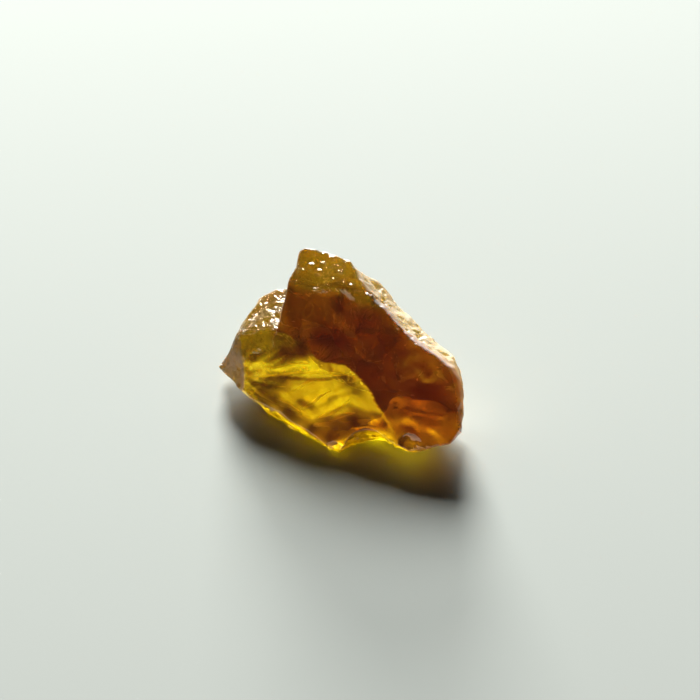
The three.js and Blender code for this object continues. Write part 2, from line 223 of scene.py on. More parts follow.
def skin(d, round_off=0.0):
    """Reach and facet number along d. round_off rounds the crests, in millimetres of reach."""
    reaches = {i: facet_reach(f, d) for i, f in enumerate(FACETS)}
    rows = np.arange(len(d))
    best = face = None
    for lump in LUMPS:
        m = np.stack([reaches[i] for i in lump], 1)
        two = np.argpartition(m, 1, axis=1)[:, :2]
        a, b = m[rows, two[:, 0]], m[rows, two[:, 1]]
        first = np.where(a <= b, two[:, 0], two[:, 1])
        r = np.minimum(a, b)
        if np.any(round_off):
            k = np.maximum(round_off, 1e-6)
            h = np.maximum(k - np.abs(a - b), 0) / k
            r = r - h * h * k * 0.25
        ids = np.array(lump)[first]
        entry = np.zeros(len(d))
        for i in lump:
            entry = np.maximum(entry, facet_entry(FACETS[i], d))
        if best is None:
            best, face = r, ids
        else:
            deeper = (r > best) & (entry <= best)
            best = np.where(deeper, r, best)
            face = np.where(deeper, ids, face)
    for k, b in enumerate(BITES):
        t = bite_reach(b, d)
        m = t < best
        if np.any(round_off):
            kk = np.maximum(np.asarray(round_off) * 0.6, 1e-6)
            h = np.maximum(kk - np.abs(t - best), 0) / kk
            best = np.minimum(t, best) - h * h * kk * 0.25
        else:
            best = np.minimum(t, best)
        face = np.where(m, len(FACETS) + k, face)
    return best, face


def directions(nu):
    t = (1 + 5**0.5) / 2
    v = np.array([[-1, t, 0], [1, t, 0], [-1, -t, 0], [1, -t, 0], [0, -1, t], [0, 1, t], [0, -1, -t],
                  [0, 1, -t], [t, 0, -1], [t, 0, 1], [-t, 0, -1], [-t, 0, 1]], float)
    faces = [[0, 11, 5], [0, 5, 1], [0, 1, 7], [0, 7, 10], [0, 10, 11], [1, 5, 9], [5, 11, 4], [11, 10, 2],
             [10, 7, 6], [7, 1, 8], [3, 9, 4], [3, 4, 2], [3, 2, 6], [3, 6, 8], [3, 8, 9], [4, 9, 5],
             [2, 4, 11], [6, 2, 10], [8, 6, 7], [9, 8, 1]]
    known, pts, tris = {}, [], []
    for a, b, c in faces:
        at = {}
        for i in range(nu + 1):
            for j in range(nu + 1 - i):
                # the weights of the three corners name the point, so that neighbours share it
                w = sorted(((a, nu - i - j), (b, i), (c, j)))
                key = tuple(x for x in w if x[1])
                if key not in known:
                    known[key] = len(pts)
                    pts.append((v[a] * (nu - i - j) + v[b] * i + v[c] * j) / nu)
                at[i, j] = known[key]
        for i in range(nu):
            for j in range(nu - i):
                tris.append((at[i, j], at[i + 1, j], at[i, j + 1]))
                if i + j < nu - 1:
                    tris.append((at[i + 1, j], at[i + 1, j + 1], at[i, j + 1]))
    p = np.array(pts)
    p /= np.linalg.norm(p, axis=1)[:, None]
    p *= STRETCH
    p /= np.linalg.norm(p, axis=1)[:, None]
    return p, np.array(tris)


def settle_on_edges(d, tris):
    """Slides vertices onto the lines between facets."""
    e = np.sort(np.concatenate([tris[:, [0, 1]], tris[:, [1, 2]], tris[:, [2, 0]]]), 1)
    e = np.unique(e, axis=0)
    d0 = d.copy()
    d = d.copy()
    _, id0 = skin(d0)
    e = e[id0[e[:, 0]] != id0[e[:, 1]]]
    moved = np.zeros(len(d), bool)
    for again in range(2):
        if again:
            e = e[~moved[e[:, 0]] & ~moved[e[:, 1]]]
        if not len(e):
            break
        lo, hi, start = np.zeros(len(e)), np.ones(len(e)), id0[e[:, 0]]
        for _ in range(13):
            mid = (lo + hi) / 2
            q = d0[e[:, 0]] * (1 - mid)[:, None] + d0[e[:, 1]] * mid[:, None]
            q /= np.linalg.norm(q, axis=1)[:, None]
            same = skin(q)[1] == start
            lo, hi = np.where(same, mid, lo), np.where(same, hi, mid)
        t = (lo + hi) / 2
        q = d0[e[:, 0]] * (1 - t)[:, None] + d0[e[:, 1]] * t[:, None]
        q /= np.linalg.norm(q, axis=1)[:, None]
        near = np.where(t < 0.5, e[:, 0], e[:, 1])
        for k in np.argsort(np.minimum(t, 1 - t), kind="stable"):
            if not moved[near[k]]:
                moved[near[k]] = True
                d[near[k]] = q[k]
    return d


# ----------------------------------------------------------------------------------------------
# The stone
def make_mesh(name, verts_mm, tris, smooth=True):
    me = bpy.data.meshes.new(name)
    me.vertices.add(len(verts_mm))
    me.vertices.foreach_set("co", (np.asarray(verts_mm) * MM).astype(np.float32).ravel())
    me.loops.add(len(tris) * 3)
    me.loops.foreach_set("vertex_index", np.asarray(tris, np.int32).ravel())
    me.polygons.add(len(tris))
    me.polygons.foreach_set("loop_start", np.arange(0, len(tris) * 3, 3, dtype=np.int32))
    me.polygons.foreach_set("use_smooth", np.full(len(tris), smooth))
    me.update(calc_edges=True)
    me.validate()
    ob = bpy.data.objects.new(name, me)
    bpy.context.scene.collection.objects.link(ob)
    return ob


def put(me, name, values):
    a = me.attributes.new(name, "FLOAT", "POINT")
    a.data.foreach_set("value", np.asarray(values, np.float32))


def spread(values, tris, times):
    """Blurs a value over the mesh."""
    e = np.concatenate([tris[:, [0, 1]], tris[:, [1, 2]], tris[:, [2, 0]]])
    e = np.concatenate([e, e[:, ::-1]])
    n = np.bincount(e[:, 0], minlength=len(values))
    for _ in range(times):
        s = np.bincount(e[:, 0], weights=values[e[:, 1]], minlength=len(values))
        values = 0.4 * values + 0.6 * s / np.maximum(n, 1)
    return values


NAMES = [f["name"] for f in FACETS] + [b["name"] for b in BITES]
# Finish of each face: how etched it is (0 glossy break, 1 frosted skin), how dull (roughness), how
# much of it is milky skin that light does not pass, how stained that skin is, and how much painted
# brown shade and painted olive shade darken the light that leaves through it
FINISH = dict(
    front_left=(0.0, 0.03, 0.0, 0.0, 0.0, 0.04), front_right=(0.03, 0.03, 0.0, 0.0, 0.68, 0.12),
    lobe_mid=(0.04, 0.03, 0.0, 0.0, 0.84, 0.28), lobe_low=(0.04, 0.03, 0.0, 0.0, 0.36, 1.45),
    hollow=(0.01, 0.03, 0.0, 0.0, 0.78, 0.10), lens=(0.04, 0.03, 0.0, 0.0, 0.28, 1.4),
    notch=(0.08, 0.05, 0.0, 0.0, 0.0, 0.85), chip=(0.04, 0.03, 0.0, 0.0, 0.0, 0.35),
    left_dark=(0.30, 0.14, 0.02, 0.3, 0.0, 0.60), left_tip=(0.7, 0.75, 0.0, 0.5, 0.0, 0.8),
    tip_scar=(0.4, 0.15, 0.0, 0.5, 0.0, 0.70), peak_left=(0.5, 0.15, 0.03, 0.4, 0.0, 0.55),
    peak_front=(0.75, 0.13, 0.01, 0.3, 0.0, 0.38), skin_band=(0.85, 0.74, 0.15, 1.0, 0.0, 0.12),
    right_end=(0.9, 0.72, 0.16, 1.0, 0.0, 0.14), shoulder=(1.0, 0.17, 0.03, 0.6, 0.0, 0.38),
    peak_nick=(0.4, 0.2, 0.03, 0.4, 0.0, 0.45), crest_scar=(0.7, 0.4, 0.08, 0.8, 0.0, 0.3),
    crest_back=(0.9, 0.50, 0.03, 0.6, 0.0, 0.08), peak_back=(0.9, 0.50, 0.03, 0.6, 0.0, 0.08),
    rest_face=(0.85, 0.80, 0.0, 0.0, 0.0, 0.0), under_left=(0.15, 0.06, 0.0, 0.0, 0.0, 0.28),
    low_front=(0.1, 0.06, 0.0, 0.0, 0.0, 0.0), under_right=(0.3, 0.15, 0.03, 0.3, 0.3, 0.2),
    back_break=(0.7, 0.72, 0.0, 0.0, 0.0, 0.0), right_back_corner=(0.85, 0.6, 0.08, 0.8, 0.0, 0.1),
    right_flank=(0.8, 0.5, 0.12, 1.0, 0.1, 0.2), right_foot=(0.5, 0.3, 0.06, 0.6, 0.4, 0.1),
    peak_left_wall=(0.7, 0.4, 0.04, 0.5, 0.0, 0.3), neck_back=(0.8, 0.6, 0.02, 0.5, 0.0, 0.08),
    shoulder_back=(0.8, 0.6, 0.02, 0.5, 0.0, 0.08), tip_foot=(0.4, 0.25, 0.03, 0.5, 0.0, 0.3),
    back_foot=(0.8, 0.75, 0.03, 0.0, 0.0, 0.0), back_scar=(0.4, 0.50, 0.0, 0.0, 0.0, 0.0),
    left_back_scar=(0.4, 0.50, 0.0, 0.0, 0.0, 0.0), right_scar=(0.5, 0.6, 0.0, 0.0, 0.0, 0.0),
    left_foot_scar=(0.06, 0.05, 0.0, 0.0, 0.0, 0.2), peak_back_scar=(0.8, 0.5, 0.05, 0.8, 0.0, 0.0))
FINISH_ELSE = (0.7, 0.6, 0.02, 0.5, 0.0, 0.05)
TABLE = np.array([FINISH.get(n, FINISH_ELSE) for n in NAMES])


def near_line(p, a, b):
    """Distance of points from a straight piece of line, and how far along it they are."""
    a, b = np.array(a), np.array(b)
    t = np.clip(((p - a) @ (b - a)) / ((b - a) @ (b - a)), 0, 1)
    return np.linalg.norm(p - a - t[:, None] * (b - a), axis=1), t


def blob(p, centre, radius):
    return np.exp(-(((p - np.array(centre)) ** 2).sum(1)) / radius**2)


def vertex_normals(p, tris):
    n = np.cross(p[tris[:, 1]] - p[tris[:, 0]], p[tris[:, 2]] - p[tris[:, 0]])
    out = np.zeros_like(p)
    for k in range(3):
        for c in range(3):
            out[:, c] += np.bincount(tris[:, k], weights=n[:, c], minlength=len(p))
    return out / np.linalg.norm(out, axis=1)[:, None]


SHADE_GLOW_VEILS = [  # painted shade and light on the bright break: from, to (mm), half width, brown shade, olive shade (below zero they lighten it: painted glow)
    ((-2.47, 0.19, 2.44), (-1.22, -0.21, 2.78), 0.36, 0.0, 0.5), ((-2.86, 0.09, 2.13), (-2.0, -0.09, 2.44), 0.26, 0.0, 0.45),
    ((-1.72, -0.13, 2.56), (-1.22, -0.35, 2.58), 0.2, 0.35, 0.35), ((-1.22, -0.19, 2.81), (-0.53, -0.47, 2.68), 0.2, 0.35, 0.2),
    ((-2.98, -0.18, 1.69), (-2.79, -0.45, 1.42), 0.1, 0.1, 0.45), ((-2.33, -0.48, 1.67), (0.47, -1.37, 2.3), 0.05, 0.14, 0.46),
    ((-1.87, -0.63, 1.75), (-1.23, -0.84, 1.88), 0.1, 0.0, 0.35), ((-0.3, -0.72, 2.57), (-0.24, -1.01, 2.3), 0.05, 0.1, 0.3),
    ((-2.46, -0.55, 1.49), (-2.13, -0.9, 1.23), 0.26, 0.0, 0.55), ((-2.14, -0.63, 1.59), (-1.75, -0.73, 1.7), 0.13, 0.0, 0.35),
    ((-2.58, -0.71, 1.19), (-1.47, -1.45, 0.9), 0.26, 0.0, 0.62), ((-1.54, -1.37, 0.96), (-0.83, -1.92, 0.68), 0.23, 0.05, 0.5),
    ((-1.12, -1.33, 1.27), (-0.8, -1.52, 1.23), 0.1, 0.1, 0.5), ((-1.48, -1.12, 1.33), (-1.16, -1.29, 1.31), 0.13, 0.0, 0.2),
    ((0.24, -1.34, 2.18), (0.6, -1.61, 2.07), 0.16, 0.0, 0.3), ((-0.24, -1.5, 1.64), (0.48, -1.62, 1.97), 0.07, 0.0, 0.3),
    ((-0.63, -1.57, 1.28), (-0.04, -1.52, 1.74), 0.06, 0.0, 0.28), ((-0.33, -1.76, 1.23), (0.47, -1.82, 1.7), 0.06, 0.0, 0.35),
    ((0.42, -1.92, 1.52), (1.38, -2.35, 1.62), 0.1, 0.05, 0.35), ((-0.08, -1.4, 1.88), (0.4, -1.44, 2.16), 0.07, 0.0, 0.25),
    ((-1.35, -0.92, 1.7), (-0.91, -0.98, 1.89), 0.08, 0.0, 0.2), ((-1.23, -0.71, 2.07), (-0.51, -0.8, 2.41), 0.07, 0.0, 0.12),
    ((-0.39, -1.95, 0.93), (0.42, -2.12, 1.26), 0.26, 0.28, 0.34), ((0.43, -2.21, 1.15), (1.38, -2.43, 1.52), 0.23, 0.32, 0.3),
    ((-0.21, -2.21, 0.71), (0.5, -2.4, 0.94), 0.23, 0.28, 0.35), ((0.74, -2.45, 1.05), (1.52, -2.57, 1.44), 0.13, 0.35, 0.2),
    ((-0.83, -1.95, 0.64), (-0.24, -2.31, 0.55), 0.16, 0.2, 0.45),
    ((-3.11, -0.1, 1.72), (-1.72, -0.49, 2.05), 0.07, 0.0, -0.55), ((-2.85, -0.34, 1.54), (-2.39, -0.4, 1.74), 0.1, 0.0, -0.55),
    ((-2.96, -0.07, 1.84), (-2.13, -0.28, 2.08), 0.04, 0.0, -0.6),
    ((-2.13, -0.28, 2.08), (-1.75, -0.21, 2.42), 0.04, 0.0, -0.5),
    ((-2.46, -0.12, 2.08), (-1.88, -0.05, 2.58), 0.04, 0.0, -0.35), ((-2.65, -0.0, 2.14), (-2.04, 0.04, 2.6), 0.04, 0.0, -0.3),
    ((-1.55, -0.48, 2.18), (-0.89, -0.59, 2.46), 0.13, 0.0, -0.2),
    ((-0.77, -1.73, 0.97), (-0.05, -1.69, 1.51), 0.05, 0.0, -0.3), ((-0.05, -1.69, 1.51), (0.54, -1.83, 1.74), 0.05, 0.0, -0.2),
    ((1.06, -1.85, 2.07), (1.37, -2.2, 1.82), 0.23, 0.0, -0.18), ((-1.23, -0.55, 2.29), (0.24, -1.15, 2.45), 0.13, 0.0, -0.15),
    ((-2.73, -0.08, 1.97), (-1.48, -0.35, 2.41), 0.16, 0.0, 0.36), ((1.52, -2.57, 1.44), (1.93, -2.95, 1.24), 0.2, 0.15, 0.6),
    ((1.24, -2.16, 0.61), (1.65, -2.37, 0.6), 0.1, 0.0, 0.25), ((-2.02, 0.23, 2.89), (-1.29, -0.11, 2.88), 0.15, 0.05, 0.55)]
SHADE_GLOW_CLOUDS = [  # painted shade and light, the same, on the brown side (below zero they lighten it: painted glow)
    ((-2.02, 0.23, 2.89), (-1.29, -0.11, 2.88), 0.15, 0.05, 0.4), ((-0.66, -0.01, 2.99), (0.14, -0.22, 2.97), 0.29, 0.3, 0.0),
    ((-0.06, 0.53, 3.67), (0.74, 0.11, 3.59), 0.36, 0.15, 0.0), ((-0.21, 0.73, 3.95), (0.42, 0.6, 4.05), 0.26, 0.06, 0.0),
    ((-1.13, 0.52, 3.57), (-0.4, 0.44, 3.46), 0.33, -0.18, 0.26), ((-1.55, 1.1, 3.97), (-1.41, 0.15, 3.11), 0.16, -0.05, 0.25),
    ((-1.27, 1.19, 4.17), (-0.11, 0.86, 4.2), 0.2, -0.28, 0.3), ((0.11, 0.79, 4.2), (1.12, 0.38, 4.15), 0.2, -0.32, 0.36),
    ((1.12, 0.38, 4.15), (1.38, -0.05, 3.84), 0.16, -0.25, 0.3), ((1.4, -0.09, 3.81), (1.55, -0.54, 3.42), 0.16, -0.12, 0.22),
    ((1.64, -0.67, 3.32), (1.88, -0.98, 3.07), 0.16, -0.1, 0.22), ((1.74, -0.44, 3.56), (2.09, -0.86, 3.23), 0.13, -0.15, 0.25),
    ((0.23, -0.45, 2.85), (1.09, -1.11, 2.76), 0.26, -0.1, 0.08), ((-0.11, -0.59, 2.66), (1.08, -1.35, 2.55), 0.16, 0.05, 0.0),
    ((0.71, -1.04, 2.73), (1.11, -1.2, 2.69), 0.13, 0.08, 0.0), ((1.88, -1.04, 3.02), (2.17, -1.25, 2.9), 0.2, -0.18, 0.15),
    ((2.29, -1.27, 2.92), (2.62, -1.16, 3.1), 0.16, -0.3, 0.12), ((2.62, -1.44, 2.85), (2.82, -1.67, 2.69), 0.13, -0.34, 0.08),
    ((3.01, -1.39, 3.0), (3.14, -1.8, 2.65), 0.11, -0.34, 0.12), ((2.8, -1.74, 2.63), (3.28, -1.73, 2.75), 0.07, -0.35, 0.1),
    ((1.72, -1.3, 2.74), (2.09, -1.36, 2.78), 0.1, -0.2, 0.1), ((2.2, -1.59, 2.6), (2.41, -1.51, 2.73), 0.13, -0.2, 0.05),
    ((2.38, -1.85, 2.41), (3.35, -2.01, 2.5), 0.29, 0.22, 0.0), ((2.86, -1.59, 2.77), (3.0, -1.46, 2.93), 0.08, 0.2, 0.0),
    ((3.33, -1.65, 2.84), (3.5, -1.82, 2.72), 0.13, 0.15, 0.0), ((3.47, -2.09, 2.46), (3.7, -1.99, 2.61), 0.07, -0.35, 0.1),
    ((1.56, -1.7, 2.33), (1.88, -2.14, 2.01), 0.16, 0.05, 0.0), ((1.34, -1.49, 2.48), (1.69, -1.73, 2.34), 0.16, -0.08, 0.0),
    ((1.87, -2.09, 2.05), (2.7, -2.32, 2.04), 0.2, -0.05, 0.0), ((3.05, -2.42, 2.04), (3.69, -2.61, 2.05), 0.26, 0.05, 0.25),
    ((1.86, -2.39, 1.76), (2.41, -2.65, 1.67), 0.26, -0.12, 0.35), ((2.51, -2.48, 1.85), (3.12, -2.7, 1.81), 0.04, -0.35, 0.1),
    ((3.12, -2.7, 1.81), (3.75, -2.74, 1.95), 0.04, -0.32, 0.12), ((3.34, -2.83, 1.75), (3.85, -2.99, 1.74), 0.16, -0.22, 0.25),
    ((1.93, -2.57, 1.62), (2.27, -2.78, 1.51), 0.2, -0.1, -0.25), ((2.39, -2.75, 1.57), (2.58, -2.87, 1.51), 0.13, -0.1, -0.2),
    ((2.14, -2.83, 1.42), (2.55, -3.03, 1.35), 0.07, 0.25, 0.0), ((2.94, -3.04, 1.44), (3.1, -3.13, 1.41), 0.13, -0.2, -0.3),
    ((3.46, -3.16, 1.48), (3.22, -3.28, 1.3), 0.16, -0.05, 0.12), ((2.27, -3.11, 1.02), (2.57, -3.31, 0.99), 0.16, -0.15, 0.0),
    ((1.84, -2.93, 1.21), (2.14, -2.97, 1.2), 0.07, -0.2, -0.2)]
# lips: from, to (mm), height, half width
LIPS = [
    ((-1.1, 1.98, 4.47), (-0.89, 1.82, 4.43), 0.1, 0.09), ((-0.84, 1.84, 4.44), (-0.5, 1.53, 4.36), 0.11, 0.09),
    ((-0.8, 2.13, 4.57), (-0.73, 1.95, 4.5), 0.09, 0.08), ((-0.3, 2.11, 4.62), (-0.17, 2.03, 4.61), 0.08, 0.07),
    ((0.02, 1.46, 4.44), (0.1, 1.41, 4.44), 0.08, 0.07), ((0.25, 1.66, 4.56), (0.29, 1.6, 4.54), 0.06, 0.06),
    ((0.92, 0.62, 4.33), (1.06, 0.65, 4.23), 0.09, 0.08), ((-0.63, 1.14, 4.22), (-0.59, 1.12, 4.22), 0.07, 0.06),
    ((-1.15, 1.75, 4.38), (-1.04, 1.66, 4.36), 0.08, 0.07), ((-0.37, 1.31, 4.31), (-0.32, 1.25, 4.3), 0.06, 0.06),
    ((0.18, 1.18, 4.36), (0.25, 1.14, 4.36), 0.05, 0.06), ((-3.33, -0.25, 1.1), (-2.57, -0.85, 1.02), 0.09, 0.05),
    ((-2.42, -0.9, 0.83), (-2.12, -1.12, 0.79), 0.08, 0.045), ((-2.01, -0.74, 0.32), (-1.25, -1.38, 0.18), 0.09, 0.05),
    ((0.23, -2.53, 0.57), (0.04, -2.53, 0.26), 0.08, 0.05), ((-0.48, -2.18, 0.3), (-0.22, -2.39, 0.26), 0.05, 0.05),
    ((0.45, -2.28, 0.51), (0.73, -2.15, 0.5), 0.07, 0.06), ((0.89, -2.11, 0.49), (1.24, -2.13, 0.51), 0.05, 0.05),
    ((1.66, -2.33, 0.48), (2.01, -2.91, 0.72), 0.08, 0.05), ((1.82, -0.25, 3.77), (1.97, -0.5, 3.56), 0.07, 0.06),
    ((2.59, -0.91, 3.33), (2.73, -0.98, 3.3), 0.06, 0.05), ((1.58, -0.77, 3.21), (1.61, -0.87, 3.12), 0.05, 0.05),
    ((2.23, -0.66, 3.47), (2.42, -0.75, 3.42), 0.05, 0.05), ((2.44, -2.49, 1.82), (3.12, -2.7, 1.81), 0.035, 0.045),
    ((3.12, -2.7, 1.81), (3.75, -2.74, 1.95), 0.035, 0.045), ((1.77, -2.13, 1.98), (1.84, -2.26, 1.88), 0.04, 0.05)]
RING = (2.24, -2.49, 1.77)
# How strong the relief of the etched faces is
RELIEF = dict(shoulder=1.0, peak_front=1.0, skin_band=0.45, right_end=0.5, left_tip=0.9, crest_scar=0.8, peak_left=0.8,
              left_dark=0.8, crest_back=0.4, peak_back=0.35, back_break=0.3, back_foot=0.4, neck_back=0.4)
# Where growth steps run across the skin
STEPS = dict(shoulder=1.0, peak_front=0.85, crest_scar=0.6, peak_nick=0.6, crest_back=0.3, peak_back=0.2, left_tip=1.0, tip_scar=1.0)
BRIGHT = [NAMES.index(n) for n in ("front_left", "chip", "notch", "under_left", "low_front", "left_foot_scar")]


def blend(values, face, tris, times):
    """Blurs a value over the mesh, but not across the rim of the bright break."""
    side = np.isin(face, BRIGHT)
    e = np.concatenate([tris[:, [0, 1]], tris[:, [1, 2]], tris[:, [2, 0]]])
    e = np.concatenate([e, e[:, ::-1]])
    e = e[side[e[:, 0]] == side[e[:, 1]]]
    n = np.maximum(np.bincount(e[:, 0], minlength=len(values)), 1)
    for _ in range(times):
        values = 0.4 * values + 0.6 * np.bincount(e[:, 0], weights=values[e[:, 1]], minlength=len(values)) / n
    return values


def painted_tones_of(p, face, tris):
    """Painted shade and glow: how much brown and olive shade is painted into the light through each spot of its skin,
    and where that light is painted lighter.
    """
    times = 120
    brown_shade = blend(TABLE[face, 4], face, tris, times)
    olive_shade_glow = blend(TABLE[face, 5], face, tris, times)
    warp = np.stack([fbm(p, 1.8, 4, 191), fbm(p, 1.8, 4, 192), fbm(p, 1.8, 4, 193)], 1)
    bright = np.isin(face, BRIGHT)
    for strokes, here, wander, strength in ((SHADE_GLOW_VEILS, bright, 0.06, 1.0), (SHADE_GLOW_CLOUDS, ~bright, 0.20, 1.45)):
        q = p + wander * warp
        for a, b, half, dark, green in strokes:
            d, _ = near_line(q, a, b)
            s = np.exp(-((d / half) ** 2)) * here
            brown_shade = brown_shade + dark * strength * s
            olive_shade_glow = olive_shade_glow + green * strength * s
    # veils of painted olive shade, lighter in places, that fan out from the lower left corner over the bright break
    corner = np.array([-3.15, -0.30, 1.52])
    across, down = np.array([0.937, -0.276, 0.214]), np.array([-0.263, -0.571, -0.778])
    u, v = (p - corner) @ across, (p - corner) @ down
    reach, turn = np.hypot(u, v), np.arctan2(v, u)
    fan = fbm(np.stack([turn * 9, reach * 0.6, reach * 0 + 1.0], 1), 1.0, 4, 301)
    left = np.exp(-((reach / 1.8) ** 4))
    olive_shade_glow += np.where(bright, left * (0.12 + 0.85 * fan), 0)
    # long faint streaks of painted olive shade over the rest of it
    long_way = np.stack([u * 0.5 + v * 0.25, v * 2.4 - u * 1.1, u * 0 + 2.0], 1)
    olive_shade_glow += np.where(bright, (1 - left) * (0.02 + 0.30 * fbm(long_way, 1.0, 4, 305)), 0)
    # painted mottling of light and shade on the brown side, strongest in the upper part of the right lobe
    lobe = blob(p, (2.7, -1.5, 2.8), 1.0)
    brown_shade += np.where(bright, 0, brown_shade * (0.16 * fbm(p, 0.9, 2, 210) + 0.95 * lobe * fbm(p * [0.8, 1.2, 1.2], 2.0, 4, 211)))
    olive_shade_glow += np.where(bright, 0, np.clip(brown_shade, 0, 1) * 0.25 * fbm(p, 1.2, 3, 221))
    return np.clip(spread(brown_shade, tris, 1), 0, 1.3), np.clip(spread(olive_shade_glow, tris, 1), 0, 1.3)


def build_stone():
    d, tris = directions(FINE)
    d = settle_on_edges(d, tris)
    r, face = skin(d)
    p = CORE + d * r[:, None]
    worn = 0.075 * (1 + 1.1 * fbm(p, 1.7, 3, 5))
    for tip, more in (((-1.15, 2.35, 4.62), 0.16), ((-3.95, 0.63, 1.15), 0.14), ((3.95, -2.9, 1.6), 0.10), ((3.9, -1.7, 2.35), 0.08)):
        worn += more * blob(p, tip, 0.7)
    # the crests of the frosted skin are keener
    worn = worn * (1 - 0.65 * spread(TABLE[face, 0], tris, 3))
    sharp_r = r
    r, _ = skin(d, np.maximum(worn, 0.015))
    rubbed = np.clip((sharp_r - r) / 0.02, 0, 1)
    p = smooth_p = CORE + d * r[:, None]
    soft = 6
    frost = spread(TABLE[face, 0], tris, soft)
    dull = spread(TABLE[face, 1], tris, soft)
    milky = spread(TABLE[face, 2], tris, soft)
    patch = fbm(p, 1.3, 3, 11)
    frost = np.clip(frost + 0.30 * patch * (frost > 0.03), 0, 1)
    stain = spread(TABLE[face, 3], tris, soft)
    milky = np.clip(milky * (1 + 1.2 * fbm(p, 1.9, 4, 77) * np.clip(2 * stain, 0, 1)), 0, 1)
    on_floor = spread((face == NAMES.index("rest_face")).astype(float), tris, 3)
    lively = np.clip(1 - 1.4 * on_floor, 0, 1)
    # etched skin: pits and low mounds; glossy breaks: a slow ripple and faint hackle
    pits = fbm(p * [1, 1, 1.2], 2.4, 4, 21)
    ridged = 1 - 2 * np.abs(fbm(p, 1.6, 3, 31))
    relief = 0.062 * pits + 0.028 * ridged + 0.012 * fbm(p, 6.5, 2, 35)
    calm = 0.006 * fbm(p, 1.1, 3, 41)
    # small flakes broken out along the crests
    edge = spread((np.abs(frost - TABLE[face, 0]) > 0.05).astype(float), tris, 2)
    bite = np.clip(fbm(p, 2.6, 3, 61) - 0.12, 0, 1)
    coarse = spread(np.array([RELIEF.get(n, 0.35) for n in NAMES])[face], tris, soft)
    lift = (coarse * frost**1.3 * relief + (1 - frost) * calm - 0.22 * edge * bite * np.clip(2 * frost, 0, 1)) * lively
    # thin raised lips along broken edges, and a small ring
    for a, b, high, half in LIPS:
        gap, t = near_line(p + 0.05 * np.stack([pits, ridged, pits * ridged], 1), a, b)
        lift += high * np.exp(-((gap / half) ** 2)) * (0.75 + 0.5 * np.sin(t * 9 + 20 * high))
    ring = np.linalg.norm(p - np.array(RING), axis=1)
    lift += 0.05 * np.exp(-(((ring - 0.10) / 0.045) ** 2))
    p = p + vertex_normals(p, tris) * lift[:, None]
    # no face is quite flat and no edge quite straight
    low = np.clip(p[:, 2] / 0.7, 0, 1)[:, None]
    wander = np.stack([fbm(p, 0.8, 2, 71), fbm(p, 0.8, 2, 72), fbm(p, 0.8, 2, 73)], 1)
    fine = np.stack([fbm(p, 2.6, 2, 74), fbm(p, 2.6, 2, 75), fbm(p, 2.6, 2, 76)], 1)
    wander = 0.16 * wander + 0.05 * fine * np.clip(np.maximum(frost, 0.8 * rubbed), 0, 1)[:, None]
    p = p + wander * np.concatenate([0.3 + 0.7 * low, 0.3 + 0.7 * low, low], 1)
    p[:, 2] = np.maximum(p[:, 2], 0.0)
    ob = make_mesh("crystal", p, tris)
    put(ob.data, "frost", frost)
    put(ob.data, "dull", np.clip(dull + 0.45 * rubbed * np.clip(2 * frost - 0.6, 0, 1), 0, 1))
    steps = spread(np.array([STEPS.get(n, 0.0) for n in NAMES])[face], tris, 3)
    put(ob.data, "steps", np.clip(steps * (1 + 0.8 * fbm(p, 1.6, 3, 91)) * (1 - 0.9 * blob(p, (-0.75, 1.85, 4.5), 0.33)), 0, 1))
    put(ob.data, "milky", milky)
    put(ob.data, "stain", stain)
    # painted brown and olive shade, and painted glow where they go below zero, kept as attributes for the material
    brown_shade, olive_shade_glow = painted_tones_of(smooth_p, face, tris)
    put(ob.data, "brown_shade", brown_shade)
    put(ob.data, "olive_shade_glow", olive_shade_glow)
    return ob, p, tris, face


stone, STONE_P, STONE_T, STONE_FACE = build_stone()


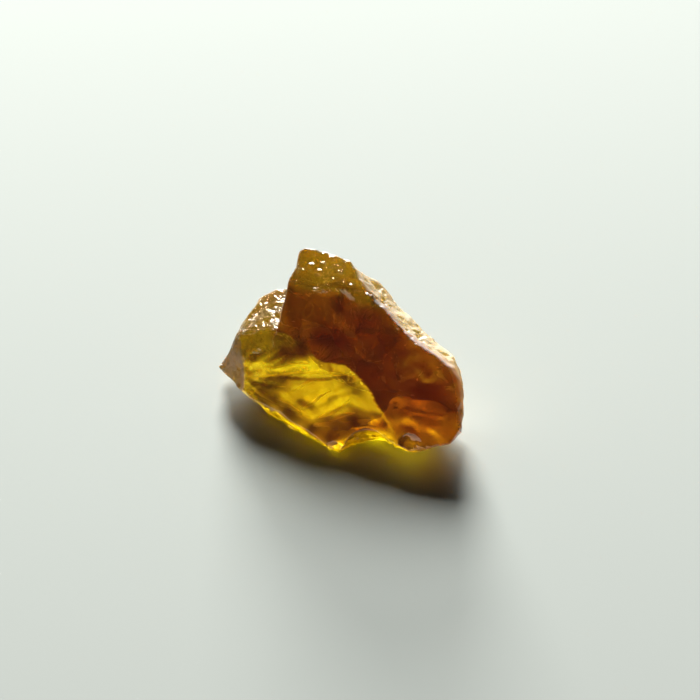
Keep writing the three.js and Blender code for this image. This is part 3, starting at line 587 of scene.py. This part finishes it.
# ----------------------------------------------------------------------------------------------
# Materials
class Nodes:
    """A small helper to lay out a node tree."""

    def __init__(self, name):
        self.mat = bpy.data.materials.new(name)
        self.mat.use_nodes = True
        self.nt = self.mat.node_tree
        self.nt.nodes.clear()

    def add(self, kind, **values):
        n = self.nt.nodes.new(kind)
        for k, v in values.items():
            if hasattr(n, k):
                setattr(n, k, v)
        return n

    def link(self, a, b):
        self.nt.links.new(a, b)

    def feed(self, socket, v):
        if isinstance(v, bpy.types.NodeSocket):
            self.link(v, socket)
        else:
            socket.default_value = v

    def math(self, op, a, b=0.0, clamp=False):
        n = self.add("ShaderNodeMath", operation=op, use_clamp=clamp)
        self.feed(n.inputs[0], a)
        self.feed(n.inputs[1], b)
        return n.outputs[0]

    def mix(self, t, a, b):
        n = self.add("ShaderNodeMix", data_type="FLOAT")
        self.feed(n.inputs[0], t)
        self.feed(n.inputs[2], a)
        self.feed(n.inputs[3], b)
        return n.outputs[0]

    def mix_colour(self, t, a, b, blend="MIX"):
        n = self.add("ShaderNodeMix", data_type="RGBA", blend_type=blend)
        self.feed(n.inputs[0], t)
        self.feed(n.inputs[6], a)
        self.feed(n.inputs[7], b)
        return n.outputs[2]

    def spot(self, name):
        return self.add("ShaderNodeAttribute", attribute_name=name).outputs["Fac"]

    def coords(self, scale=(1, 1, 1), turn=(0, 0, 0)):
        t = self.add("ShaderNodeTexCoord")
        m = self.add("ShaderNodeMapping")
        m.inputs["Scale"].default_value = scale
        m.inputs["Rotation"].default_value = turn
        self.link(t.outputs["Object"], m.inputs["Vector"])
        return m.outputs["Vector"]

    def noise(self, per_m, detail=4.0, rough=0.5, warp=0.0, where=None):
        n = self.add("ShaderNodeTexNoise")
        n.inputs["Scale"].default_value = per_m
        n.inputs["Detail"].default_value = detail
        n.inputs["Roughness"].default_value = rough
        n.inputs["Distortion"].default_value = warp
        if where is None:
            where = self.coords()
        self.link(where, n.inputs["Vector"])
        return n.outputs["Fac"]

    def cells(self, per_m, feature="F1", where=None):
        n = self.add("ShaderNodeTexVoronoi", feature=feature)
        n.inputs["Scale"].default_value = per_m
        if where is None:
            where = self.coords()
        self.link(where, n.inputs["Vector"])
        return n.outputs["Distance"]

    def ramp(self, v, stops):
        n = self.add("ShaderNodeValToRGB")
        e = n.color_ramp.elements
        e[0].position, e[0].color = stops[0]
        e[1].position, e[1].color = stops[1]
        for at, c in stops[2:]:
            x = e.new(at)
            x.color = c
        self.feed(n.inputs[0], v)
        return n.outputs[0]

    def remap(self, v, a, b, c=0.0, d=1.0):
        n = self.add("ShaderNodeMapRange", clamp=True)
        self.feed(n.inputs[0], v)
        for k, x in enumerate((a, b, c, d)):
            n.inputs[k + 1].default_value = x
        return n.outputs[0]

    def bump(self, height, strength, distance, before=None):
        n = self.add("ShaderNodeBump")
        self.feed(n.inputs["Strength"], strength)
        n.inputs["Distance"].default_value = distance
        self.link(height, n.inputs["Height"])
        if before is not None:
            self.link(before, n.inputs["Normal"])
        return n.outputs["Normal"]


def crystal_material():
    k = Nodes("clear_yellow_crystal")
    out = k.add("ShaderNodeOutputMaterial")
    p = k.add("ShaderNodeBsdfPrincipled")
    k.link(p.outputs[0], out.inputs["Surface"])
    frost = k.spot("frost")
    milky = k.spot("milky")
    stained = k.spot("stain")
    # finish: glassy breaks, etched skin with duller and glossier patches
    mottle = k.noise(1100, 3)
    rough = k.math("MULTIPLY", k.spot("dull"), k.remap(mottle, 0.3, 0.7, 0.65, 1.3), True)
    k.link(rough, p.inputs["Roughness"])
    # tan and olive staining of the etched skin
    cloud = k.remap(k.noise(700, 4, 0.6), 0.38, 0.66)
    skin_colour = k.mix_colour(cloud, SKIN_LIGHT, SKIN_DARK)
    base = k.mix_colour(k.math("MULTIPLY", stained, k.remap(milky, 0.0, 0.3, 0.35, 1.0)), (0.97, 0.96, 0.93, 1), skin_colour)
    # painted shade: light that leaves through a toned face is made browner or more olive, and darker, by this much;
    # below zero the olive tone lightens it, painted glow
    for name, rgb in (("brown_shade", BROWN_SHADE_TINT), ("olive_shade_glow", OLIVE_SHADE_TINT)):
        amount = k.spot(name)
        tint = k.add("ShaderNodeCombineColor")
        for i, c in enumerate(rgb):
            k.link(k.math("POWER", c, amount), tint.inputs[i])
        base = k.mix_colour(1.0, base, tint.outputs[0], "MULTIPLY")
    k.link(base, p.inputs["Base Color"])
    # relief finer than the mesh
    grit = k.noise(9000, 4, 0.65)
    pits = k.cells(5200)
    slow = k.noise(1500, 3, 0.5, 0.4)
    # growth steps: narrow treads that all lean the same way
    tread = k.add("ShaderNodeTexWave", wave_type="BANDS", bands_direction="Y", wave_profile="SAW")
    k.link(k.coords((1, 1, 1), (0, 0, 0.35)), tread.inputs["Vector"])
    for name, v in (("Scale", 1900.0), ("Distortion", 5.0), ("Detail", 3.0), ("Detail Scale", 1.2), ("Detail Roughness", 0.6)):
        tread.inputs[name].default_value = v
    # here and there a fleck of the skin lies level instead, and catches the light
    flecks = k.remap(k.noise(8500, 3, 0.7), 0.555, 0.62, 1.0, 0.0)
    n0 = k.bump(tread.outputs["Fac"], k.math("MULTIPLY", k.spot("steps"), flecks), 0.00010)
    n1 = k.bump(slow, k.mix(frost, 0.02, 0.35), 0.00005, n0)
    harsh = k.math("POWER", frost, 2.0)
    n2 = k.bump(pits, k.mix(harsh, 0.0, 0.6), 0.00003, n1)
    n3 = k.bump(grit, k.mix(harsh, 0.01, 0.6), 0.00003, n2)
    k.link(n3, p.inputs["Normal"])
    see = k.math("SUBTRACT", 1.0, milky, True)
    k.link(see, p.inputs["Transmission Weight"])
    p.inputs["IOR"].default_value = 2.417
    a = k.add("ShaderNodeVolumeAbsorption")
    a.inputs["Color"].default_value = (0.995, 0.968, 0.0625, 1)
    a.inputs["Density"].default_value = 1600.0
    k.link(a.outputs[0], out.inputs["Volume"])
    return k.mat


SKIN_LIGHT, SKIN_DARK = (0.76, 0.70, 0.40, 1), (0.48, 0.41, 0.14, 1)
# colours of one unit of painted brown shade and of painted olive shade
BROWN_SHADE_TINT, OLIVE_SHADE_TINT = (0.0256, 0.0011, 0.00004), (0.0256, 0.0100, 0.00008)
stone.data.materials.append(crystal_material())
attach(stone, "root")
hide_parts("rough_crystal")


# ----------------------------------------------------------------------------------------------
# Sealed in the stone
# Feathers: thin, gently curved cracks that fan out from the lower left corner under the front break
def leaf(a, b, width, out, bow, lean, seed):
    """A thin blade from a to b, closed, widest in the middle, with a ragged edge."""
    a, b, out = np.array(a), np.array(b), np.array(out)
    along = b - a
    length = np.linalg.norm(along)
    u = along / length
    v = np.cross(out, u)
    v /= np.linalg.norm(v)
    w = np.cross(u, v)
    v = v * math.cos(lean) + w * math.sin(lean)
    w = np.cross(u, v)
    nl, nw = 36, 8
    top, low, tris = [], [], []
    for i in range(nl + 1):
        t = i / nl
        wid = width * (math.sin(math.pi * (0.04 + 0.92 * t**0.75)) ** 0.8)
        for j in range(nw + 1):
            s = j / nw * 2 - 1
            q = np.array([[t * length * 2.2, s * 1.3, seed * 3.1]])
            rag = 1 + 0.5 * float(fbm(q, 1.7, 3, seed)[0])
            c = a + along * t + v * (s * wid * rag) + w * (bow * math.sin(math.pi * t) + 0.05 * float(fbm(q, 0.9, 2, seed + 5)[0]))
            thick = 0.006 * (1 - s * s) * math.sin(math.pi * min(max(t, 0.01), 0.99)) + 0.0004
            top.append(c + w * thick)
            low.append(c - w * thick)
    cols = nw + 1
    m = len(top)
    for i in range(nl):
        for j in range(nw):
            k0, k1, k2, k3 = i * cols + j, i * cols + j + 1, (i + 1) * cols + j + 1, (i + 1) * cols + j
            tris += [(k0, k3, k2), (k0, k2, k1), (m + k0, m + k2, m + k3), (m + k0, m + k1, m + k2)]
    rim = [j for j in range(cols)] + [i * cols + nw for i in range(1, nl + 1)]
    rim += [nl * cols + j for j in range(nw - 1, -1, -1)] + [i * cols for i in range(nl - 1, 0, -1)]
    for x, y in zip(rim, rim[1:] + rim[:1]):
        tris += [(x, y, m + y), (x, m + y, m + x)]
    return np.array(top + low), np.array(tris)


INWARD = np.array([0.228, 0.777, -0.587])  # into the stone, down and back from the front break
FEATHERS = [  # from, to (on the front break, mm), width, how far behind it, bow, lean
    # fan from the lower left corner
    ((-2.90, -0.36, 1.52), (-1.20, -0.72, 2.00), 0.050, 0.50, 0.06, 0.2), ((-2.60, -0.20, 1.92), (-1.60, -0.22, 2.46), 0.06, 0.45, 0.04, 0.3),
    ((-2.20, -0.35, 1.98), (-1.05, -0.55, 2.36), 0.05, 0.60, 0.03, 0.2), ((-2.80, -0.50, 1.40), (-1.60, -0.95, 1.58), 0.05, 0.45, 0.03, -0.1),
    # the dark line across the bright break
    ((-2.33, -0.46, 1.70), (-0.40, -1.02, 2.22), 0.075, 0.70, 0.03, 0.1), ((-0.75, -0.95, 2.12), (0.53, -1.33, 2.41), 0.07, 0.65, 0.02, 0.2),
    # short diagonal ones, low down
    ((-0.70, -1.75, 0.98), (0.42, -1.78, 1.66), 0.09, 0.55, 0.03, 0.2), ((-0.35, -1.95, 1.02), (0.55, -2.02, 1.52), 0.10, 0.50, 0.02, 0.3),
    ((-1.20, -1.45, 1.14), (-0.30, -1.45, 1.78), 0.05, 0.55, 0.03, 0.2), ((-1.50, -0.95, 1.50), (-0.70, -1.05, 1.95), 0.05, 0.65, 0.03, 0.2),
    # the cloudy area at the foot of the break
    ((-0.85, -1.86, 0.76), (0.95, -2.40, 1.18), 0.24, 0.45, 0.02, 0.1), ((-0.30, -2.10, 0.82), (1.25, -2.48, 1.20), 0.22, 0.38, 0.02, -0.1),
    ((0.05, -2.22, 0.92), (1.05, -2.35, 1.40), 0.16, 0.60, 0.02, 0.2), ((-2.75, -0.62, 1.22), (-1.80, -1.16, 1.02), 0.16, 0.30, 0.02, 0.0),
    ((-2.10, -0.95, 1.12), (-1.20, -1.45, 1.00), 0.12, 0.40, 0.02, 0.1),
    # behind the dark slope at the left
    ((-1.65, -0.20, 2.50), (-0.75, -0.48, 2.62), 0.10, 0.50, 0.02, 0.1)]


def feathers():
    pts, tris, n = [], [], 0
    for k, (a, b, wid, deep, bow, lean) in enumerate(FEATHERS):
        a, b = np.array(a) + INWARD * deep, np.array(b) + INWARD * deep * 1.15
        p, t = leaf(a, b, wid, (0.0, 0.15, 1.0), bow, lean, k + 1)
        # every blade stays well under the skin
        d = p - CORE
        far = np.linalg.norm(d, axis=1)
        d /= far[:, None]
        p = CORE + d * np.minimum(far, skin(d)[0] - 0.24)[:, None]
        pts.append(p)
        tris.append(t + n)
        n += len(p)
    return make_mesh("feathers", np.concatenate(pts), np.concatenate(tris))


def feather_material():
    k = Nodes("feather_crack")
    out = k.add("ShaderNodeOutputMaterial")
    p = k.add("ShaderNodeBsdfPrincipled")
    k.link(p.outputs[0], out.inputs["Surface"])
    streak = k.noise(5200, 4, 0.6, 0.5, k.coords((0.25, 1.2, 1.2), (0.0, 0.3, 0.35)))
    k.link(k.mix_colour(k.remap(streak, 0.35, 0.65), (1.0, 0.93, 0.62, 1), (1.0, 0.99, 0.9, 1)), p.inputs["Base Color"])
    k.link(k.remap(streak, 0.35, 0.7, 0.6, 0.9), p.inputs["Roughness"])
    p.inputs["Transmission Weight"].default_value = 0.3
    p.inputs["IOR"].default_value = 1.2
    return k.mat


plumes = feathers()
plumes.data.materials.append(feather_material())
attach(plumes, "root")


# ----------------------------------------------------------------------------------------------
# Floor, light and camera
def floor():
    me = bpy.data.meshes.new("floor")
    s, z = 0.6, -0.00002
    me.from_pydata([(-s, -s, z), (s, -s, z), (s, s, z), (-s, s, z)], [], [(0, 1, 2, 3)])
    ob = bpy.data.objects.new("floor", me)
    bpy.context.scene.collection.objects.link(ob)
    k = Nodes("pale_floor")
    out = k.add("ShaderNodeOutputMaterial")
    p = k.add("ShaderNodeBsdfPrincipled")
    k.link(p.outputs[0], out.inputs["Surface"])
    p.inputs["Base Color"].default_value = (0.365, 0.395, 0.372, 1)
    p.inputs["Roughness"].default_value = 0.9
    p.inputs["Specular IOR Level"].default_value = 0.1
    me.materials.append(k.mat)
    return ob


floor()

E = math.radians(38.0)
LOOK = np.array([0, math.cos(E), -math.sin(E)])
UP = np.array([0, math.sin(E), math.cos(E)])
TARGET = np.array([0.327, 0.094, 2.0]) - SHIFT
EYE = (TARGET - 120.0 * LOOK) * MM

cam_data = bpy.data.cameras.new("camera")
cam_data.sensor_width = 36.0
cam_data.lens = 3672.0 / 700.0 * 36.0
cam_data.clip_start = 0.005
cam_data.clip_end = 10
cam = bpy.data.objects.new("camera", cam_data)
bpy.context.scene.collection.objects.link(cam)
cam.location = EYE
cam.rotation_euler = (math.pi / 2 - E, 0, 0)
bpy.context.scene.camera = cam

def soft_light(name, elevation, azimuth, radius, radiance, distance=0.16):
    """A round softbox seen from the stone at this height and bearing (deg), this wide (deg)."""
    az, el = math.radians(azimuth), math.radians(elevation)
    way = np.array([math.sin(az) * math.cos(el), math.cos(az) * math.cos(el), math.sin(el)])
    lamp = bpy.data.lights.new(name, "AREA")
    lamp.shape = "DISK"
    lamp.size = 2 * distance * math.tan(math.radians(radius))
    lamp.energy = radiance * math.pi * (lamp.size / 2) ** 2 * math.pi
    lamp.color = (1.0, 0.985, 0.96)
    ob = bpy.data.objects.new(name, lamp)
    bpy.context.scene.collection.objects.link(ob)
    ob.location = way * distance + np.array([0, 0, 0.002])
    ob.rotation_euler = (math.pi / 2 - el, 0, math.pi - az)


soft_light("key", 35.16, -6.17, 12.0, 53.0, 0.22)
soft_light("back", 11.0, -6.17, 10.0, 92.0, 0.32)

world = bpy.data.worlds.new("world")
bpy.context.scene.world = world
world.use_nodes = True
bg = world.node_tree.nodes["Background"] if "Background" in world.node_tree.nodes else world.node_tree.nodes.new("ShaderNodeBackground")
bg.inputs[0].default_value = (0.9, 0.97, 1.0, 1)
bg.inputs[1].default_value = 0.022

sc = bpy.context.scene
sc.cycles.max_bounces = 40
sc.cycles.transmission_bounces = 40
sc.cycles.glossy_bounces = 24
sc.cycles.diffuse_bounces = 4
sc.cycles.transparent_max_bounces = 16
sc.cycles.caustics_reflective = True
sc.cycles.caustics_refractive = True
sc.cycles.blur_glossy = 0.0
sc.cycles.sample_clamp_indirect = 12.0
sc.cycles.sample_clamp_direct = 0.0
sc.view_settings.view_transform = "Standard"
sc.view_settings.look = "None"
sc.view_settings.exposure = 0.0
sc.view_settings.gamma = 1.0
